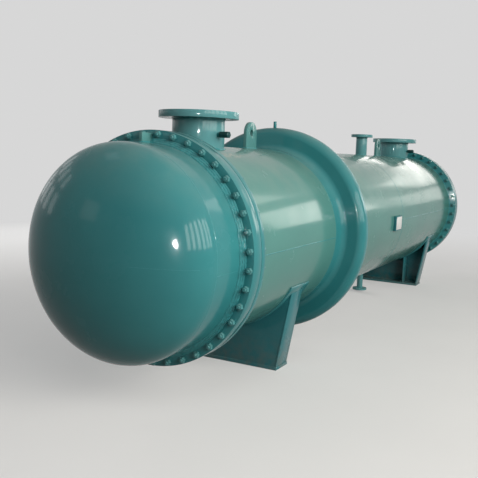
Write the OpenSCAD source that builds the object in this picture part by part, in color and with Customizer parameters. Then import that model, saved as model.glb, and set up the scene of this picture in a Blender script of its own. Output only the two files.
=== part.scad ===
// Horizontal shell and tube heat exchanger with fixed tubesheets, dished heads, one
// flanged and flued expansion joint and two saddles. Millimetres. +X runs from the front
// head to the rear head, +Z is up, and the origin is on the floor under the middle.

/* [Vessel] */
// Outside diameter of the shell and of both heads
shell_od = 1500; // [1300:10:1700]
// Thickness of the shell plate
shell_wall = 16; // [10:1:24]
// Distance between the outer faces of the two head flanges
body_length = 6745; // [6400:5:7300]
// Height of the vessel's axis above the floor
axis_height = 1080; // [1040:5:1300]

/* [Heads] */
// Straight part of each head outside its flange
head_skirt = 318; // [200:1:400]
// Depth of the dished part
dish_depth = 375; // [300:5:500]
// Thickness of the head plate
head_wall = 16; // [10:1:24]

/* [Girth flanges] */
// How far each girth flange stands out from the shell
girth_flange_lip = 90; // [80:1:110]
// Thickness of each head flange
head_flange_thickness = 110; // [70:1:140]
// Thickness of each tubesheet
tubesheet_thickness = 52; // [40:1:80]
// Thickness of the gasket between them
gasket_thickness = 3; // [2:0.5:5]
// How far the gasket's edge lies inside the flange rim
gasket_setback = 8; // [5:1:15]

/* [Expansion joint] */
// Middle of the joint, from the front flange face
joint_station = 1990; // [1970:5:2010]
// Half of the joint's length over its cuffs
joint_half_length = 237; // [230:1:250]
// Half of the distance between the outsides of the two flat rings
joint_half_width = 92; // [85:1:100]
// How far the crest stands out from the shell
joint_height = 206; // [170:1:230]
// Outside radius of the knuckle at the crest
crest_radius = 75; // [60:1:80]
// Outside radius of the flare at the shell
root_radius = 60; // [40:1:75]
// Thickness of the joint's plate
joint_wall = 16; // [10:1:22]
// Diameter of the vent stub on the crest
crest_vent_od = 30; // [20:1:40]
// Height of the vent stub
crest_vent_height = 58; // [40:1:70]

/* [Main nozzles] */
// Middle of the inlet nozzle, from the front flange face
inlet_station = 615; // [590:5:640]
// Middle of the outlet nozzle, from the rear flange face
outlet_setback = 693; // [660:1:730]
// Outside diameter of the main nozzle pipes
main_pipe_od = 406; // [350:1:420]
// Wall of the main nozzle pipes
main_pipe_wall = 12; // [8:1:16]
// Outside diameter of the main nozzle flanges
main_flange_od = 620; // [600:5:650]
// Thickness of the main nozzle flanges
main_flange_thickness = 52; // [40:1:60]
// Bolt circle of the main nozzle flanges
main_bolt_circle = 550; // [530:5:560]
// Number of bolt holes in a main nozzle flange
main_bolt_count = 16; // [12:4:20]
// Diameter of those holes
main_bolt_hole = 36; // [26:1:40]

/* [Small nozzles] */
// Middle of the vent nozzle, from the rear flange face
vent_setback = 2192; // [2150:1:2240]
// Middle of the drain nozzle, from the rear flange face
drain_setback = 1934; // [1890:1:1980]
// Outside diameter of the vent pipe
vent_pipe_od = 140; // [114:1:150]
// Outside diameter of the vent flange
vent_flange_od = 270; // [255:5:290]
// Bolt circle of the vent flange
vent_bolt_circle = 220; // [215:5:230]
// Outside diameter of the drain pipe
drain_pipe_od = 76; // [60:1:80]
// Outside diameter of the drain flange
drain_flange_od = 185; // [175:5:210]
// Bolt circle of the drain flange
drain_bolt_circle = 145; // [140:5:150]
// Wall of the small nozzle pipes
small_pipe_wall = 6; // [4:0.5:8]
// Thickness of the vent flange
vent_flange_thickness = 34; // [24:1:44]
// Thickness of the drain flange
drain_flange_thickness = 24; // [18:1:30]
// Number of bolt holes in a small nozzle flange
small_bolt_count = 8; // [4:4:8]
// Diameter of the vent flange's bolt holes
vent_bolt_hole = 26; // [18:1:28]
// Diameter of the drain flange's bolt holes
drain_bolt_hole = 18; // [14:1:20]

/* [Nozzle heads] */
// Distance of the upper nozzles' sealing plane from the shell
nozzle_projection = 258; // [230:1:290]
// Distance of the drain nozzle's sealing plane from the shell
drain_projection = 300; // [280:1:310]
// Height of the raised sealing face
raised_face = 3; // [2:0.5:4]
// Distance between the sealing face's edge and the bolt holes
face_to_holes = 10; // [6:1:14]

/* [Gauge bosses] */
// Diameter of the threaded boss on each main nozzle
boss_od = 36; // [30:1:42]
// How far the boss stands out of the pipe
boss_length = 20; // [15:1:40]
// Size across the flats of its hexagonal plug
plug_flats = 46; // [36:1:50]
// Length of the plug outside the boss
plug_length = 84; // [40:1:90]
// Height of the boss above the shell's top
boss_height = 83; // [75:1:100]
// Angle that the bosses are turned towards the front head
boss_turn = 10; // [0:1:20]

/* [Saddles] */
// Outer face of the front saddle's web, from the front flange face
front_saddle_station = 1083; // [1060:1:1110]
// Outer face of the rear saddle's web, from the rear flange face
rear_saddle_setback = 777; // [740:1:820]
// Length of a saddle along the vessel
saddle_depth = 215; // [170:5:240]
// Length of a base plate across the vessel
base_length = 1054; // [1000:2:1080]
// Thickness of the base plates
base_thickness = 25; // [16:1:32]
// How far a base plate stands out past web and ribs
base_lip = 4; // [2:1:10]
// Thickness of web and ribs
saddle_plate = 16; // [10:1:22]
// Half of the angle that the web holds under the vessel
web_half_angle = 57.5; // [55:0.1:59]
// Half of the angle that the wear plate covers
pad_half_angle = 62; // [60:0.5:64]
// Thickness of the wear plates
wear_plate_thickness = 12; // [8:1:16]
// How far a wear plate reaches past the saddle on each side
wear_plate_overhang = 70; // [40:1:80]
// Distance of the inner ribs from the middle
inner_rib_offset = 330; // [300:5:360]
// Distance between the foundation bolt holes of one saddle
anchor_spacing = 900; // [820:10:940]
// Diameter of the foundation bolt holes
anchor_hole = 30; // [22:1:36]
// How much longer than wide the rear saddle's holes are, so that the vessel can grow
slide_travel = 40; // [20:1:60]

/* [Lifting lugs] */
// Middle of the front lug, from the front flange face
front_lug_station = 1478; // [1455:1:1500]
// Middle of the rear lug, from the rear flange face
rear_lug_setback = 1500; // [1470:5:1530]
// Length of a lug along the vessel
lug_length = 193; // [150:1:220]
// Height of the hole above the shell
lug_hole_height = 133; // [120:1:160]
// Diameter of the hole
lug_hole = 56; // [40:1:64]
// Thickness of the lugs
lug_thickness = 30; // [20:1:36]
// Length of the small lug on each head
head_lug_length = 120; // [90:1:150]
// Height of the small lug
head_lug_height = 67; // [50:1:75]
// Thickness of the small lug
head_lug_thickness = 26; // [16:1:32]

/* [Nameplate] */
// Middle of the nameplate, from the front flange face
plate_station = 3705; // [3650:5:3760]
// Height of its middle above the vessel's axis
plate_rise = -12; // [-40:2:20]
// Length and height of the bracket's face
bracket_length = 230; // [200:5:260]
bracket_height = 165; // [140:5:190]
// Distance of the bracket's face from the shell
bracket_standoff = 28; // [22:1:40]
// Thickness of the bracket sheet
bracket_sheet = 5; // [3:1:6]
// Margin of bracket around the plate
plate_margin = 12; // [8:1:20]
// Thickness of the plate
plate_thickness = 2; // [1:0.5:3]

/* [Tube bundle] */
// How far inside the baffles' edge the tie rods' centres stand
rod_inset = 41; // [20:1:120]
// Thickness of the baffles
baffle_thickness = 10; // [6:1:16]
// Distance between baffles
baffle_pitch = 760; // [600:10:900]
// Gap between baffles and shell
baffle_gap = 3; // [2:0.5:6]
// Share of the baffle's diameter that is cut off for the flow
baffle_cut = 0.25; // [0.2:0.01:0.35]
// Diameter of the rods that hold the baffles
tie_rod_od = 16; // [12:1:20]

/* [Hidden] */
$fn = 192;
paint = [0.22, 0.50, 0.49];
dark_paint = [0.10, 0.28, 0.29];
steel = [0.62, 0.64, 0.64];
// Clearance of a ring that slips over a pipe or a head before it is welded
slip_fit = 0.3;
// Ends of cutting tools reach this far past what they cut
past = 5;
// Straight pieces along an arc or an ellipse in a turned profile
arc_steps = 12;
dish_steps = 32;

shell_r = shell_od / 2;
shell_inner_r = shell_r - shell_wall;
girth_r = shell_r + girth_flange_lip;
front_face = -body_length / 2;
tubesheet_outer = head_flange_thickness + gasket_thickness;
tubesheet_inner = tubesheet_outer + tubesheet_thickness;
shell_start = front_face + tubesheet_inner;
shell_end = -shell_start;
joint_x = front_face + joint_station;
inlet_x = front_face + inlet_station;
outlet_x = -front_face - outlet_setback;
vent_x = -front_face - vent_setback;
drain_x = -front_face - drain_setback;
// The rear shell is rolled in two courses, which meet beside the nameplate
course_seam_setback = 2770;
course_seam_x = -front_face - course_seam_setback;
front_lug_x = front_face + front_lug_station;
rear_lug_x = -front_face - rear_lug_setback;
crest_r = shell_r + joint_height;
sealing_r = shell_r + nozzle_projection;
drain_sealing_r = shell_r + drain_projection;
pad_r = shell_r + wear_plate_thickness;

// Turns its children so that their Z axis runs along the vessel, from station x
module along_axis(x) {
    translate([x, 0, axis_height]) rotate([0, 90, 0]) children();
}

// A plain tube along the vessel, from x0 to x1
module axial_tube(x0, x1, outer, inner) {
    along_axis(x0) difference() {
        cylinder(h = x1 - x0, r = outer);
        translate([0, 0, -past]) cylinder(h = x1 - x0 + 2 * past, r = inner);
    }
}

// The solid cylinder inside radius r, for cutting what sits on the shell
module vessel_cut(r) {
    along_axis(-body_length) cylinder(h = 2 * body_length, r = r);
}

// Children of the front end, or their mirror image at the rear end
module at_end(rear) {
    if (rear) mirror([1, 0, 0]) children();
    else children();
}

function arc(centre, r, from, to, steps) =
    [for (i = [0 : steps]) let (a = from + (to - from) * i / steps)
        centre + r * [cos(a), sin(a)]];

function dish(r, depth, start, steps) =
    [for (i = [0 : steps]) let (a = 90 * i / steps) [r * cos(a), start - depth * sin(a)]];

function reversed(list) = [for (i = [len(list) - 1 : -1 : 0]) list[i]];

// Head: an ellipsoidal dish on a straight skirt that reaches into its flange
module head(rear) {
    skirt_end = head_flange_thickness - gasket_thickness;
    outside = dish(shell_r, dish_depth, -head_skirt, dish_steps);
    inside = dish(shell_r - head_wall, dish_depth - head_wall, -head_skirt, dish_steps);
    color(paint) at_end(rear) along_axis(front_face) rotate_extrude()
        polygon(concat([[shell_r - head_wall, skirt_end], [shell_r, skirt_end]],
            outside, reversed(inside)));
}

// Head flange: a ring that slips over the skirt of the head
module head_flange(rear) {
    color(dark_paint) at_end(rear)
        axial_tube(front_face, front_face + head_flange_thickness, girth_r, shell_r + slip_fit);
}

module gasket(rear) {
    color("dimgray") at_end(rear)
        axial_tube(front_face + head_flange_thickness, front_face + tubesheet_outer,
            girth_r - gasket_setback, shell_r + slip_fit);
}

// Tubesheet: a full disc that also serves as the shell's flange
module tubesheet(rear) {
    color(paint) at_end(rear) along_axis(front_face + tubesheet_outer)
        cylinder(h = tubesheet_thickness, r = girth_r);
}

// A straight stretch of shell, drilled for upward and downward nozzles
module course(x0, x1) {
    color(paint) difference() {
        axial_tube(x0, x1, shell_r, shell_inner_r);
        children();
    }
}

module upward_hole(x, r) {
    translate([x, 0, axis_height]) cylinder(h = shell_od, r = r);
}

module downward_hole(x, r) {
    translate([x, 0, axis_height - shell_od]) cylinder(h = shell_od, r = r);
}

// Half of the expansion joint: cuff, flared root, flat ring, knuckle and crest
module expansion_half(rear) {
    root_x = -joint_half_width - root_radius;
    crest_x = -joint_half_width + crest_radius;
    outside = concat([[shell_r, -joint_half_length]],
        arc([shell_r + root_radius, root_x], root_radius, 180, 90, arc_steps),
        arc([crest_r - crest_radius, crest_x], crest_radius, -90, 0, arc_steps),
        [[crest_r, 0]]);
    inside = concat([[shell_r - joint_wall, -joint_half_length]],
        arc([shell_r + root_radius, root_x], root_radius + joint_wall, 180, 90, arc_steps),
        arc([crest_r - crest_radius, crest_x], crest_radius - joint_wall, -90, 0, arc_steps),
        [[crest_r - joint_wall, 0]]);
    color(paint) along_axis(joint_x) mirror([0, 0, rear ? 1 : 0]) rotate_extrude()
        polygon(concat(outside, reversed(inside)));
}

// Vent stub on the front half of the crest, against the closing weld
module expansion_vent_stub() {
    color(steel) difference() {
        translate([joint_x - crest_vent_od / 2, 0, axis_height])
            cylinder(h = crest_r + crest_vent_height, r = crest_vent_od / 2);
        vessel_cut(crest_r);
    }
}

// Nozzle pipe from the shell to its sealing plane, seal_r from the vessel's axis; up is 1
// for the top of the vessel and -1 for below
module nozzle_pipe(x, outer_d, wall, seal_r, up) {
    color(paint) translate([x, 0, axis_height]) mirror([0, 0, up < 0 ? 1 : 0]) difference() {
        cylinder(h = seal_r - raised_face, r = outer_d / 2);
        translate([0, 0, -past]) cylinder(h = seal_r + 2 * past, r = outer_d / 2 - wall);
        translate([-body_length, 0, 0]) rotate([0, 90, 0])
            cylinder(h = 2 * body_length, r = shell_r);
    }
}

// Slip-on nozzle flange with a raised face and its bolt holes
module nozzle_flange(x, pipe_d, outer_d, thickness, circle, count, hole, seal_r, up) {
    face_r = (circle - hole) / 2 - face_to_holes;
    color(paint) translate([x, 0, axis_height]) mirror([0, 0, up < 0 ? 1 : 0])
        translate([0, 0, seal_r - raised_face - thickness]) difference() {
            union() {
                cylinder(h = thickness, r = outer_d / 2);
                cylinder(h = thickness + raised_face, r = face_r);
            }
            translate([0, 0, -past])
                cylinder(h = thickness + 2 * past, r = pipe_d / 2 + slip_fit);
            for (i = [0 : count - 1]) rotate([0, 0, (i + 0.5) * 360 / count])
                translate([circle / 2, 0, -past])
                    cylinder(h = thickness + 2 * past, r = hole / 2);
        }
}

// Children with their Z axis pointing out of a main nozzle, where the gauge boss sits
module at_boss(x) {
    translate([x, 0, axis_height + shell_r + boss_height]) rotate([0, 0, -boss_turn])
        rotate([90, 0, 0]) children();
}

module gauge_boss(x) {
    color(paint) difference() {
        at_boss(x) cylinder(h = main_pipe_od / 2 + boss_length, r = boss_od / 2);
        translate([x, 0, axis_height]) cylinder(h = sealing_r, r = main_pipe_od / 2);
    }
}

// Hexagonal plug screwed into the boss
module gauge_plug(x) {
    across_corners = plug_flats / cos(30);
    color([0.06, 0.14, 0.15]) at_boss(x) translate([0, 0, main_pipe_od / 2 + boss_length])
        cylinder(h = plug_length, d = across_corners, $fn = 6);
}

// Children drawn in the plane across the vessel, thickened towards +X from x
module across(x, thickness) {
    translate([x, 0, axis_height]) rotate([90, 0, 90])
        linear_extrude(height = thickness) children();
}

base_top = base_thickness - axis_height;
wing_top = [pad_r * sin(web_half_angle), -pad_r * cos(web_half_angle)];
wing_foot = [base_length / 2, base_top];
wing_lean = atan2(wing_top[0] - wing_foot[0], wing_top[1] - wing_foot[1]);

wing_width = saddle_plate / cos(wing_lean);

// The trapezium between base and vessel, narrowed by inset at each side
module web_core(inset) {
    polygon([[-wing_foot[0] + inset, base_top - past], [wing_foot[0] - inset, base_top - past],
        [wing_foot[0] - inset, base_top], [wing_top[0] - inset, wing_top[1]],
        [-wing_top[0] + inset, wing_top[1]], [-wing_foot[0] + inset, base_top]]);
}

module web_outline(inset) {
    difference() {
        intersection() {
            web_core(inset);
            translate([-base_length, base_top]) square([2 * base_length, -base_top]);
        }
        circle(r = pad_r);
    }
}

// The outline of what a web and its wings cover
module wear_outline() {
    far = 2 * shell_r;
    difference() {
        intersection() {
            circle(r = pad_r);
            polygon([[0, 0], [far * sin(pad_half_angle), -far * cos(pad_half_angle)],
                [-far * sin(pad_half_angle), -far * cos(pad_half_angle)]]);
        }
        circle(r = shell_r);
    }
}

// A saddle is drawn for the front end: web at its outer face, ribs towards the middle
module saddle_wear_plate(rear, station) {
    color(paint) at_end(rear)
        across(front_face + station - wear_plate_overhang, saddle_depth + 2 * wear_plate_overhang)
            wear_outline();
}

module saddle_web(rear, station) {
    color(dark_paint) at_end(rear)
        across(front_face + station, saddle_plate) web_outline(wing_width);
}

// Side wings that close the web's slanted edges, and two inner ribs on each side
module saddle_ribs(rear, station) {
    color(dark_paint) at_end(rear) {
        across(front_face + station, saddle_depth) difference() {
            web_outline(0);
            web_core(wing_width);
        }
        across(front_face + station + saddle_plate, saddle_depth - saddle_plate) difference() {
            for (side = [-1, 1])
                translate([side * inner_rib_offset - saddle_plate / 2, base_top])
                    square([saddle_plate, -base_top]);
            circle(r = pad_r);
        }
    }
}

// Base plate with its foundation bolt holes, slotted by travel along the vessel
module saddle_base(rear, station, travel) {
    color(dark_paint) at_end(rear) translate([front_face + station, 0, 0]) difference() {
        translate([-base_lip, -base_length / 2 - base_lip, 0])
            cube([saddle_depth + 2 * base_lip, base_length + 2 * base_lip, base_thickness]);
        for (side = [-1, 1])
            translate([(saddle_depth + saddle_plate) / 2, side * anchor_spacing / 2, -past]) {
                for (end = [-1, 1]) translate([end * travel / 2, 0, 0])
                    cylinder(h = base_thickness + 2 * past, r = anchor_hole / 2);
                if (travel > 0) translate([-travel / 2, -anchor_hole / 2, 0])
                    cube([travel, anchor_hole, base_thickness + 2 * past]);
            }
    }
}

// Lifting lug: a plate along the vessel with a round head and a shackle hole
module lifting_lug(x) {
    hole_z = axis_height + shell_r + lug_hole_height;
    color(paint) difference() {
        translate([x, lug_thickness / 2, 0]) rotate([90, 0, 0])
            linear_extrude(height = lug_thickness) difference() {
                union() {
                    translate([-lug_length / 2, axis_height])
                        square([lug_length, hole_z - axis_height]);
                    translate([0, hole_z]) circle(d = lug_length);
                }
                translate([0, hole_z]) circle(d = lug_hole);
            }
        vessel_cut(shell_r);
    }
}

// Small lug on the skirt of a head, against its flange
module head_lug(rear) {
    color(paint) at_end(rear) difference() {
        translate([front_face - head_lug_length, -head_lug_thickness / 2, axis_height])
            cube([head_lug_length, head_lug_thickness, shell_r + head_lug_height]);
        vessel_cut(shell_r);
    }
}

// Nameplate bracket: a folded channel whose two legs stand on the shell
module nameplate_bracket() {
    x = front_face + plate_station;
    z = axis_height + plate_rise;
    face_y = -shell_r - bracket_standoff;
    color(paint) difference() {
        translate([x - bracket_length / 2, face_y, z - bracket_height / 2])
            cube([bracket_length, shell_r / 2, bracket_height]);
        translate([x - bracket_length / 2 + bracket_sheet, face_y + bracket_sheet,
            z - bracket_height / 2 - past])
            cube([bracket_length - 2 * bracket_sheet, shell_r, bracket_height + 2 * past]);
        vessel_cut(shell_r);
    }
}

module nameplate() {
    x = front_face + plate_station;
    z = axis_height + plate_rise;
    color(steel) translate([x - bracket_length / 2 + plate_margin,
        -shell_r - bracket_standoff - plate_thickness,
        z - bracket_height / 2 + plate_margin])
        cube([bracket_length - 2 * plate_margin, plate_thickness,
            bracket_height - 2 * plate_margin]);
}

baffle_r = shell_inner_r - baffle_gap;
rod_circle_r = baffle_r - rod_inset;
baffle_count = floor((shell_end - shell_start) / baffle_pitch) - 1;
rod_angles = [-50, -18, 18, 50, 130, 162, 198, 230];

function baffle_x(i) = (i - (baffle_count - 1) / 2) * baffle_pitch;

// Children at the end of each tie rod, in the plane across the vessel
module at_rods() {
    for (a = rod_angles) rotate([0, 0, a]) translate([rod_circle_r, 0, 0]) children();
}

// Baffles: discs with a flat cut off, at the top and at the bottom in turn
module baffles() {
    flow_edge = baffle_r * (1 - 2 * baffle_cut);
    color(steel) for (i = [0 : baffle_count - 1])
        translate([baffle_x(i) - baffle_thickness / 2, 0, axis_height])
            mirror([0, 0, i % 2]) rotate([0, 90, 0]) difference() {
                cylinder(h = baffle_thickness, r = baffle_r);
                translate([-2 * baffle_r - flow_edge, -baffle_r, -past])
                    cube([2 * baffle_r, 2 * baffle_r, baffle_thickness + 2 * past]);
                translate([0, 0, -past]) rotate([0, 0, 90]) at_rods()
                    cylinder(h = baffle_thickness + 2 * past, r = tie_rod_od / 2 + slip_fit);
            }
}

// Tie rods, screwed into the front tubesheet and through every baffle
module tie_rods() {
    far_end = baffle_x(baffle_count - 1) + baffle_thickness / 2 + 2 * tie_rod_od;
    color(steel) along_axis(shell_start) rotate([0, 0, 90]) at_rods()
        cylinder(h = far_end - shell_start, r = tie_rod_od / 2);
}

main_bore_r = main_pipe_od / 2 - main_pipe_wall;
vent_bore_r = vent_pipe_od / 2 - small_pipe_wall;
drain_bore_r = drain_pipe_od / 2 - small_pipe_wall;

head(false);  // front_head
head_flange(false);  // front_head_flange
gasket(false);  // front_gasket
tubesheet(false);  // front_tubesheet
course(shell_start, joint_x - joint_half_length) upward_hole(inlet_x, main_bore_r);  // front_shell
expansion_half(false);  // expansion_front_half
expansion_half(true);  // expansion_rear_half
expansion_vent_stub();
course(joint_x + joint_half_length, course_seam_x);  // rear_shell_first_course
course(course_seam_x, shell_end) {  // rear_shell_second_course
        upward_hole(outlet_x, main_bore_r);
        upward_hole(vent_x, vent_bore_r);
        downward_hole(drain_x, drain_bore_r);
    }
tubesheet(true);  // rear_tubesheet
gasket(true);  // rear_gasket
head_flange(true);  // rear_head_flange
head(true);  // rear_head
baffles();
tie_rods();
nozzle_pipe(inlet_x, main_pipe_od, main_pipe_wall, sealing_r, 1);  // inlet_pipe
nozzle_flange(inlet_x, main_pipe_od, main_flange_od, main_flange_thickness,  // inlet_flange
        main_bolt_circle, main_bolt_count, main_bolt_hole, sealing_r, 1);
gauge_boss(inlet_x);  // inlet_gauge_boss
gauge_plug(inlet_x);  // inlet_gauge_plug
nozzle_pipe(outlet_x, main_pipe_od, main_pipe_wall, sealing_r, 1);  // outlet_pipe
nozzle_flange(outlet_x, main_pipe_od, main_flange_od, main_flange_thickness,  // outlet_flange
        main_bolt_circle, main_bolt_count, main_bolt_hole, sealing_r, 1);
gauge_boss(outlet_x);  // outlet_gauge_boss
gauge_plug(outlet_x);  // outlet_gauge_plug
nozzle_pipe(vent_x, vent_pipe_od, small_pipe_wall, sealing_r, 1);  // vent_pipe
nozzle_flange(vent_x, vent_pipe_od, vent_flange_od, vent_flange_thickness,  // vent_flange
        vent_bolt_circle, small_bolt_count, vent_bolt_hole, sealing_r, 1);
nozzle_pipe(drain_x, drain_pipe_od, small_pipe_wall, drain_sealing_r, -1);  // drain_pipe
nozzle_flange(drain_x, drain_pipe_od, drain_flange_od, drain_flange_thickness,  // drain_flange
        drain_bolt_circle, small_bolt_count, drain_bolt_hole, drain_sealing_r, -1);
saddle_wear_plate(false, front_saddle_station);  // front_saddle_wear_plate
saddle_web(false, front_saddle_station);  // front_saddle_web
saddle_ribs(false, front_saddle_station);  // front_saddle_ribs
saddle_base(false, front_saddle_station, 0);  // front_saddle_base
saddle_wear_plate(true, rear_saddle_setback);  // rear_saddle_wear_plate
saddle_web(true, rear_saddle_setback);  // rear_saddle_web
saddle_ribs(true, rear_saddle_setback);  // rear_saddle_ribs
saddle_base(true, rear_saddle_setback, slide_travel);  // rear_saddle_base
lifting_lug(front_lug_x);  // front_lifting_lug
lifting_lug(rear_lug_x);  // rear_lifting_lug
head_lug(false);  // front_head_lug
head_lug(true);  // rear_head_lug
nameplate_bracket();
nameplate();
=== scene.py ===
import math

import bmesh
import bpy
from mathutils import Matrix, Vector, noise


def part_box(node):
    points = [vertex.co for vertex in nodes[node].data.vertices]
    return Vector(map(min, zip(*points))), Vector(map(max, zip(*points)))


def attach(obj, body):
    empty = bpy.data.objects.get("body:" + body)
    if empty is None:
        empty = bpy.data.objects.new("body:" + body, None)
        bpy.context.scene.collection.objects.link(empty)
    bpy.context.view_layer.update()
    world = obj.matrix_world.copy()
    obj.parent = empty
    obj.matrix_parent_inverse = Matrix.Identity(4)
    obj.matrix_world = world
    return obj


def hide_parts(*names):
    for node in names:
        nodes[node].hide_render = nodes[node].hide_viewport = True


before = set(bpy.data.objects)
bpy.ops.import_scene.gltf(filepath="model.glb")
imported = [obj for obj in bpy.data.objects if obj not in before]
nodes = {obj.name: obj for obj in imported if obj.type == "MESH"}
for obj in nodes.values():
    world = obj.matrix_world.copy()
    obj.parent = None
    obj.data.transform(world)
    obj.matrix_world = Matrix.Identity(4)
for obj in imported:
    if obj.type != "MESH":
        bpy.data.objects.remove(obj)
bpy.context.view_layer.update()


def middle(node):
    low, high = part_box(node)
    return (low + high) / 2


def size(node):
    low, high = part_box(node)
    return high - low


# Where the vessel is, read from the frame, in metres
axisZ = middle("front_tubesheet").z
shellR = size("rear_shell_first_course").y / 2
girthR = size("front_head_flange").y / 2
crestR = size("expansion_front_half").y / 2
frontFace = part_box("front_head_flange")[0].x
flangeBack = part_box("front_tubesheet")[1].x
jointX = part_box("expansion_front_half")[1].x
plateWall = 0.016  # shell, heads and expansion joint


# Helpers

def chain(bm, points, closed):
    verts = [bm.verts.new(p) for p in points]
    pairs = list(zip(verts, verts[1:]))
    if closed:
        pairs.append((verts[-1], verts[0]))
    return verts + [bm.edges.new(pair) for pair in pairs]


def spinAbout(bm, points, centre, axis, steps, closed=True):
    bmesh.ops.spin(bm, geom=chain(bm, points, closed), cent=centre, axis=axis,
                   dvec=(0, 0, 0), angle=math.tau, steps=steps, use_merge=True,
                   use_duplicate=False)
    bmesh.ops.remove_doubles(bm, verts=bm.verts, dist=1e-5)
    bmesh.ops.recalc_face_normals(bm, faces=bm.faces)
    return bm


def turned(profile, steps=256):  # pairs of station and radius, about the vessel's axis
    points = [(x, 0, axisZ + r) for x, r in profile]
    return spinAbout(bmesh.new(), points, (0, 0, axisZ), (1, 0, 0), steps)


def turnedUp(profile, x, steps=128):  # pairs of radius and height, about a nozzle's axis
    points = [(x + r, 0, z) for r, z in profile]
    return spinAbout(bmesh.new(), points, (x, 0, 0), (0, 0, 1), steps)


def sharpEdges(bm, degrees=32):
    limit = math.radians(degrees)
    return [e for e in bm.edges if len(e.link_faces) == 2 and e.calc_face_angle(0) > limit]


def soften(bm, width, segments=2):
    bmesh.ops.bevel(bm, geom=sharpEdges(bm), offset=width, offset_type="OFFSET",
                    affect="EDGES", segments=segments, profile=0.5, material=-1,
                    clamp_overlap=True)
    return bm


def cadCopy(node, width=0.0015, segments=2):  # a CAD node's mesh with its edges broken
    bm = bmesh.new()
    bm.from_mesh(nodes[node].data)
    bmesh.ops.remove_doubles(bm, verts=bm.verts, dist=1e-5)
    bmesh.ops.dissolve_limit(bm, angle_limit=math.radians(0.5), verts=bm.verts, edges=bm.edges)
    return soften(bm, width, segments)


def linked(name, bm):
    mesh = bpy.data.meshes.new(name)
    bm.to_mesh(mesh)
    bm.free()
    obj = bpy.data.objects.new(name, mesh)
    bpy.context.scene.collection.objects.link(obj)
    return obj


def baked(obj):  # the object's mesh with its modifiers in it, as a bmesh
    graph = bpy.context.evaluated_depsgraph_get()
    mesh = bpy.data.meshes.new_from_object(obj.evaluated_get(graph))
    bm = bmesh.new()
    bm.from_mesh(mesh)
    bpy.data.meshes.remove(mesh)
    bpy.data.objects.remove(obj)
    return bm


def drilled(bm, centres, radius, low, high):  # cuts round holes along Z
    cutter = bmesh.new()
    for x, y in centres:
        place = Matrix.Translation((x, y, (low + high) / 2))
        bmesh.ops.create_cone(cutter, cap_ends=True, segments=48, radius1=radius,
                              radius2=radius, depth=high - low, matrix=place)
    tool = linked("tool", cutter)
    blank = linked("blank", bm)
    cut = blank.modifiers.new("cut", "BOOLEAN")
    cut.operation, cut.solver, cut.object = "DIFFERENCE", "EXACT", tool
    result = baked(blank)
    bpy.data.objects.remove(tool)
    return result


def mirrorEnds(bm):  # from the front end of the vessel to the rear one
    bmesh.ops.scale(bm, vec=(-1, 1, 1), verts=bm.verts)
    bmesh.ops.reverse_faces(bm, faces=bm.faces)
    return bm


def keep(bm, name, material, replaced=(), smooth=True):
    for face in bm.faces:
        face.smooth = smooth
    for edge in sharpEdges(bm):
        edge.smooth = False
    obj = linked(name, bm)
    obj.data.materials.append(material)
    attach(obj, "root")
    if replaced:
        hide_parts(*replaced)
    return obj


def trueRound(obj, radii):  # the drilled shell keeps the normals of a whole cylinder
    mesh = obj.data
    axis = Vector((0, 0, axisZ))
    normals = [(0, 0, 0)] * len(mesh.loops)
    for face in mesh.polygons:
        for loop in face.loop_indices:
            place = mesh.vertices[mesh.loops[loop].vertex_index].co - axis
            place.x = 0
            away = place.normalized()
            if min(abs(place.length - r) for r in radii) < 0.0005 and abs(
                    away.dot(face.normal)) > 0.98:
                normals[loop] = tuple(away if away.dot(face.normal) > 0 else -away)
    mesh.normals_split_custom_set(normals)


def bead(bm, points, radius, closed=False, rough=0.15):  # a run of weld along a path
    data = bpy.data.curves.new("bead", "CURVE")
    data.dimensions, data.bevel_depth, data.bevel_resolution = "3D", radius, 1
    data.use_fill_caps = True
    spline = data.splines.new("POLY")
    spline.points.add(len(points) - 1)
    for point, place in zip(spline.points, points):
        point.co = (*place, 1)
        point.radius = 1 + rough * noise.noise(Vector(place) * 130)
    spline.use_cyclic_u = closed
    obj = bpy.data.objects.new("bead", data)
    bpy.context.scene.collection.objects.link(obj)
    run = baked(obj)
    mesh = bpy.data.meshes.new("run")
    run.to_mesh(mesh)
    run.free()
    bm.from_mesh(mesh)
    bpy.data.meshes.remove(mesh)


def onShell(x, angle, r):  # angle from the top, towards the side that the nameplate is on
    return (x, -r * math.sin(angle), axisZ + r * math.cos(angle))


def hoop(x, r, count=360):
    return [onShell(x, math.tau * i / count, r) for i in range(count)]


def straight(start, end, count):
    a, b = Vector(start), Vector(end)
    return [tuple(a.lerp(b, i / count)) for i in range(count + 1)]


# Materials

paintMix = {
    "deep": (0.023, 0.165, 0.180, 1), "light": (0.040, 0.220, 0.230, 1),
    "dustAndSheen": (0.33, 0.345, 0.29, 1), "grime": (0.16, 0.14, 0.11, 1),
    "patch": 0.8, "patchSpan": (0.3, 0.7),
    "facesUp": (0.25, 1.0), "dustScale": 5, "dustSpan": (0.35, 0.75), "dustLeast": 0.2,
    "dustCover": 0.5, "splashHeight": 0.32, "splashCover": 0.5, "splashScale": 14,
    "splashSpan": (0.35, 0.7), "glossScale": 3.1, "glossSpan": (0.3, 0.75),
    "glossier": 0.05, "duller": 0.12, "waveScale": 1.1, "waveHeight": 0.0003,
    "peelScale": 260, "peelHeight": 0.00007, "rippleScale": 55,
    "specular": 0.05, "coat": 0.30, "coatRoughness": 0.09,
}


def newMaterial(name):
    material = bpy.data.materials.new(name)
    material.use_nodes = True
    return material, material.node_tree, material.node_tree.nodes["Principled BSDF"]


def put(tree, kind, inputs=(), **settings):
    node = tree.nodes.new(kind)
    for key, value in settings.items():
        setattr(node, key, value)
    for key, value in dict(inputs).items():
        if isinstance(value, bpy.types.NodeSocket):
            tree.links.new(value, node.inputs[key])
        else:
            node.inputs[key].default_value = value
    return node


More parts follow.
